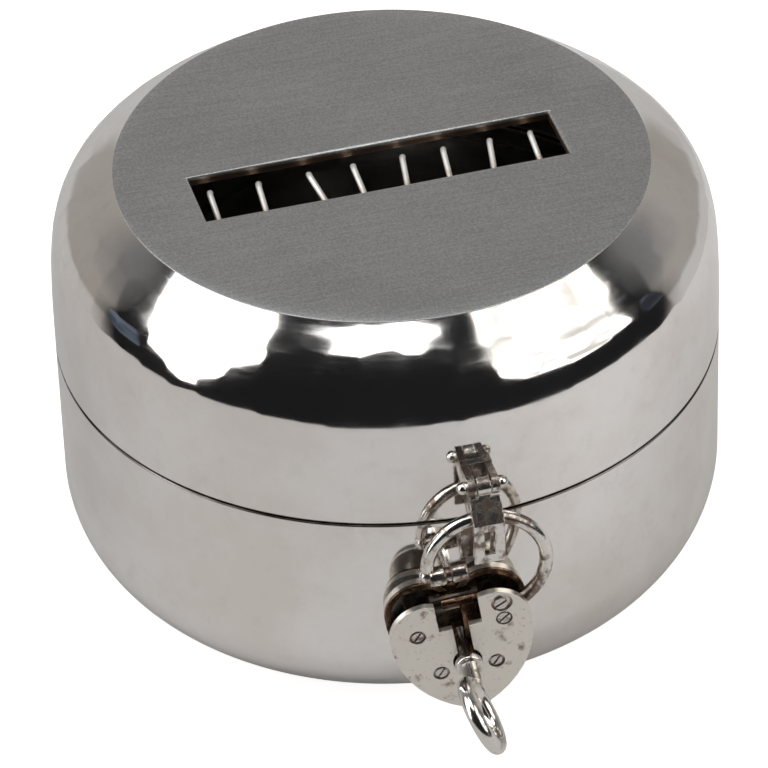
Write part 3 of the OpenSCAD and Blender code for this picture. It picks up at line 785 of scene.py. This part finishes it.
# %% The ring
ring_r, ring_wire_r = 8.7, 1.0
ring_centre = np.array([0.35, -ring_r])
heel_angle, toe_angle = -62.0, 184.0
ring = arc_points(ring_centre, ring_r, heel_angle, toe_angle, 96)
ring = np.concatenate([ring, np.zeros((len(ring), 1))], 1)
ring_path, ring_radii = round_ends(ring, ring_wire_r, 8)
shackle_grids = [
    (hanging(swept(ring_path, ring_radii, np.array([0, 0, 1.0]), 28)), True, False)]
print(f"ring of {2 * ring_r:.1f} across, open for {360 - toe_angle + heel_angle:.0f} degrees")

# %% The grooved catch
catch_from = np.array([*(ring_centre + [-8.5, -1.5]), 0])
catch_to = np.array([*(ring_centre + [-2.8, -0.7]), 0])
catch_l = np.linalg.norm(catch_to - catch_from)
catch_r, groove_r = 1.5, 1.1
groove_from, groove_to = 0.42 * catch_l, 0.58 * catch_l
catch_axis = (catch_to - catch_from) / catch_l
catch_axes = np.stack([np.cross(catch_axis, [0, 0, 1]), [0, 0, 1.0], catch_axis])
catch_profile = np.concatenate([
    [[0, 0]], arc_points((catch_r - 0.3, 0.3), 0.3, -90, 0, 5),
    arc_points((catch_r - 0.15, groove_from - 0.15), 0.15, 0, 90, 4),
    arc_points((groove_r + 0.1, groove_from + 0.1), 0.1, 270, 180, 3),
    arc_points((groove_r + 0.1, groove_to - 0.1), 0.1, 180, 90, 3),
    arc_points((catch_r - 0.15, groove_to + 0.15), 0.15, -90, 0, 4),
    arc_points((catch_r - 0.35, catch_l - 0.35), 0.35, 0, 90, 6), [[0, catch_l]]])
shackle_grids.append(
    (hanging(turned(catch_profile, 40, catch_axes, catch_from)), True, False))
print(f"catch {catch_l:.1f} long")

# %% The ball at the ring's toe, the heel, and the whole shackle
toe_direction = math.radians(toe_angle + 2)
toe = np.array([*ring_centre, 0]) + ring_r * np.array([math.cos(toe_direction),
                                                       math.sin(toe_direction), 0])
toe_profile = arc_points((0, 0), ring_wire_r + 0.25, -90, 90, 16)
shackle_grids.append((hanging(turned(toe_profile, 32, np.eye(3), toe)), True, False))
heel_local = (pivot_place - hang_place) @ hang_axes.T
heel_r, heel_half, bore_r = 2.3, 1.3, 0.85
heel_profile = np.concatenate([
    arc_points((heel_r - 0.4, heel_half - 0.4), 0.4, 0, 90, 6),
    [[bore_r, heel_half], [bore_r, -heel_half]],
    arc_points((heel_r - 0.4, -heel_half + 0.4), 0.4, -90, 0, 6)])
shackle_grids.append((hanging(turned(heel_profile, 40, np.eye(3), heel_local)), True, True))
made_piece("shackle_ring", shackle_grids, "shackle", hardware, ["shackle"])

# %% [markdown]
# ## The key
#
# A hollow barrel with a collar, a slimmer shank and a ring for the fingers. It could be
# joined from primitives, but a real key has a small curve at every change of thickness, and
# in polished metal those curves are what shows. All of it is turned: two profiles round the
# barrel's axis, and a circle turned round the ring's own axis.

# %% The key's barrel
lock_place = np.array(joints["key_turn"]["pos_m"]) / MM
case_lean = math.radians(8)
case_right = math.cos(case_lean) * hang_right + math.sin(case_lean) * hang_up
case_up = math.cos(case_lean) * hang_up - math.sin(case_lean) * hang_right
case_axes = np.stack([case_right, case_up, hang_out])
half_t, plate_t = 3.5, 1.1
barrel_r, shank_r, drill_r = 1.5, 1.25, 0.75
collar_from, collar_to = half_t + 0.5, half_t + 1.7
bow_out, bow_d, bow_wire = 12.3, 12.3, 2.3
shank_end = half_t + bow_out - bow_d / 2 - 0.5
drill_end = 1.9
barrel_profile = np.concatenate([
    [[drill_r, -half_t + plate_t + 0.1]],
    arc_points((barrel_r - 0.15, -half_t + plate_t + 0.25), 0.15, -90, 0, 4),
    [[barrel_r, collar_from - 0.1]],
    arc_points((barrel_r + 0.3, collar_from + 0.2), 0.2, -90, 0, 5),
    arc_points((barrel_r + 0.2, collar_to - 0.3), 0.3, 0, 90, 6),
    arc_points((shank_r + 0.2, collar_to + 0.2), 0.2, 270, 180, 4),
    [[shank_r, shank_end - 0.2]],
    arc_points((shank_r - 0.15, shank_end - 0.15), 0.15, 0, 90, 4),
    [[0, shank_end], [0, drill_end], [drill_r, drill_end]]])
made_piece("key_barrel", [(turned(barrel_profile, 48, case_axes, lock_place), True, True)],
           "key", key_silver, ["key_shank"])

# %% The key's ring
bow_turn = math.radians(18)
bow_side = math.cos(bow_turn) * case_right + math.sin(bow_turn) * case_up
bow_up = math.cos(bow_turn) * case_up - math.sin(bow_turn) * case_right
bow_centre = lock_place + (half_t + bow_out) * hang_out
bow_axes = np.stack([bow_up, hang_out, bow_side])
ring_mid = (bow_d - bow_wire) / 2
bow_profile = arc_points((ring_mid, 0), bow_wire / 2, 0, 345, 24)
neck_profile = np.array([[0, shank_end], [shank_r, shank_end], [shank_r * 0.94, shank_end + 0.7],
                         [shank_r * 1.02, shank_end + 1.6], [0, shank_end + 1.6]])
made_piece("key_ring", [
    (turned(bow_profile, 96, bow_axes, bow_centre), True, True),
    (turned(neck_profile, 40, case_axes, lock_place), True, False)],
    "key", key_silver, ["key_bow"])

# %% [markdown]
# ## Parts that stay as packed
#
# These sit inside the lock, under the lid or in the hinge, where only a sliver shows. The
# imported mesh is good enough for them, so it stays, but each still gets a finish, because lids
# open and keys come out.

# %% Finishes of the parts that stay as packed
kept = {"rim_collar": (silver_cup, "polished_silver"),
        "wire_rail": (dark_silver, "dark_silver"),
        "hinge_pin": (dark_silver, "dark_silver"), "drill_pin": (dark_silver, "dark_silver"),
        "detent_spring": (inner_brown_and_shade, "padlock_inner"),
        "lock_cam": (inner_brown_and_shade, "padlock_inner"), "key_bit": (key_silver, "hardware_silver")}
for node, (material, slot) in kept.items():
    nodes[node].data.materials.clear()
    nodes[node].data.materials.append(material)
print(f"{len(kept)} parts stay as packed")

# %% [markdown]
# ## Soft boxes
#
# Polished silver has no look of its own: it shows the room. Area lamps would light it, but
# they are rectangles or ellipses, and those shapes would show on the shoulder. Each soft box
# is a card instead, whose corners are given as directions from the bank, because a direction
# is what a mirror sees. Two small dim blue cards give the dark parts a faint cool glint.


# %% Soft boxes
def toward(azimuth, elevation):
    """Unit vector; azimuth 0 is +Y and 90 is +X, in degrees."""
    a, e = math.radians(azimuth), math.radians(elevation)
    return np.array([math.sin(a) * math.cos(e), math.cos(a) * math.cos(e), math.sin(e)])


def glow_material(name, colour, strength, uneven):
    """A glowing sheet whose strength varies by the share uneven, as cloth over lamps does."""
    material, start, surface = new_material(name)
    cloth = start.noise(object_place(start), 1.6, 3.0).step(0.35, 0.65)
    power = strength * (1 - uneven) + cloth * (2 * strength * uneven)
    shader = start.node("Emission", {}, {"Color": (*colour, 1), "Strength": power})
    start.tree.links.new(shader.socket, surface)
    return material


card_distance, bank_middle = 2.4, 0.05


def soft_box(name, corners, strength, colour=(1, 1, 1), uneven=0.0):
    """A flat glowing card seen from the bank in the given directions. Each corner lies where
    its direction meets the card's plane."""
    directions = np.array([toward(*corner) for corner in corners])
    middle = directions.mean(0)
    middle /= np.linalg.norm(middle)
    points = card_distance * directions / (directions @ middle)[:, None] + [0, 0, bank_middle]
    mesh = bpy.data.meshes.new(name)
    mesh.from_pydata(points.tolist(), [], [list(range(len(corners)))])
    mesh.materials.append(glow_material(name, colour, strength, uneven))
    card = bpy.data.objects.new(name, mesh)
    bpy.context.scene.collection.objects.link(card)
    card.visible_camera = False
    print(f"{name}: {len(corners)} corners, strength {strength}")


soft_box("left_box", [(-112, 18), (-103, -8), (-97, -12), (-86, 8), (-73, 28), (-60, 42),
                      (-62, 60), (-100, 66)], 3.0)
soft_box("right_box", [(110, 10), (102, 32), (90, 45), (100, 62), (130, 68), (151, 58),
                       (155, 30), (150, 12), (132, 6)], 1.9, (1.0, 0.975, 0.93), 0.62)
soft_box("top_box", [(160, 67.4), (180, 66.9), (-150, 67.4), (-120, 66), (-97, 63), (-30, 74),
                     (60, 80), (140, 76)], 3.0)
soft_box("blue_corner", [(-80, -2), (-68, -4), (-64, 10), (-76, 15)], 0.13,
         (0.62, 0.75, 1.0), 0.6)
soft_box("blue_shelf", [(94, 4), (100, 3), (102, 20), (95, 26)], 0.09, (0.7, 0.8, 1.0), 0.6)

# %% [markdown]
# ## The table
#
# The walls show the table, so its size and tone set how bright the silver is. A wide plane
# would also fill the dark shoulder with light. A round top of 200 mm radius leaves it dark.
# The Light Path node lifts the table to plain white for the camera alone.

# %% Table
table_r = 200.0
table_points = turned(np.array([[0.0, 0.0], [table_r, 0.0]]), 128)
table_mesh = clean(fill_mesh("table", [(table_points, True, False)]))
table = bpy.data.objects.new("table", table_mesh)
bpy.context.scene.collection.objects.link(table)
material, start, surface = new_material("pale_table")
diffuse = start.node("BsdfDiffuse", {}, {"Color": (0.6, 0.59, 0.585, 1)})
sideways = start.node("SeparateXYZ", {}, {0: object_place(start)}, "X")
seen = start.node("LightPath", {}, {}, "Is Camera Ray")
# Painted light: the table glows a little for all rays, more on its right side (+X), to fill the
# bank's shadow that the walls reflect.
painted_fill_light = 0.03 + sideways.step(-0.02, 0.09) * 0.13
glow = start.node("Emission", {}, {"Color": (1, 0.98, 0.97, 1), "Strength": painted_fill_light + seen * 0.85})
shader = start.node("AddShader", {}, {0: diffuse, 1: glow})
start.tree.links.new(shader.socket, surface)
table_mesh.materials.append(material)
print(f"table of radius {table_r:.0f}")

# %% [markdown]
# ## The room
#
# Towards the camera the room is nearly black, and behind the bank it is a soft beige grey
# that is paler near the floor. An image of a room would be simpler to choose, but a few
# smooth steps over the view's direction can be placed exactly where the silver needs them.

# %% Room
world = bpy.data.worlds.new("room")
world.use_nodes = True
bpy.context.scene.world = world
tree = world.node_tree
tree.nodes.clear()
start = Signal(tree)
look = start.node("TexCoord", {}, {}, "Generated")
behind = start.node("VectorMath", {"operation": "DOT_PRODUCT"},
                    {0: look, 1: tuple(toward(14, 0))}, "Value").step(0.14, 0.38)
rise = start.node("SeparateXYZ", {}, {0: look}, "Z")
low_band = 1 - rise.step(0.3, 0.55)
room = start.mix(behind, (0.012, 0.012, 0.013, 1), (0.165, 0.165, 0.167, 1))
room = start.mix(behind * low_band, room, (0.34, 0.32, 0.3, 1))
room = start.mix(behind * (1 - rise.step(-0.1, 0.02)), room, (0.5, 0.49, 0.485, 1))
seen = start.node("LightPath", {}, {}, "Is Camera Ray")
room = start.mix(seen, room, (1, 1, 1, 1))
background = start.node("Background", {}, {"Color": room, "Strength": 1.0})
output = tree.nodes.new("ShaderNodeOutputWorld")
tree.links.new(background.socket, output.inputs["Surface"])
print(f"room of {len(tree.nodes)} nodes")
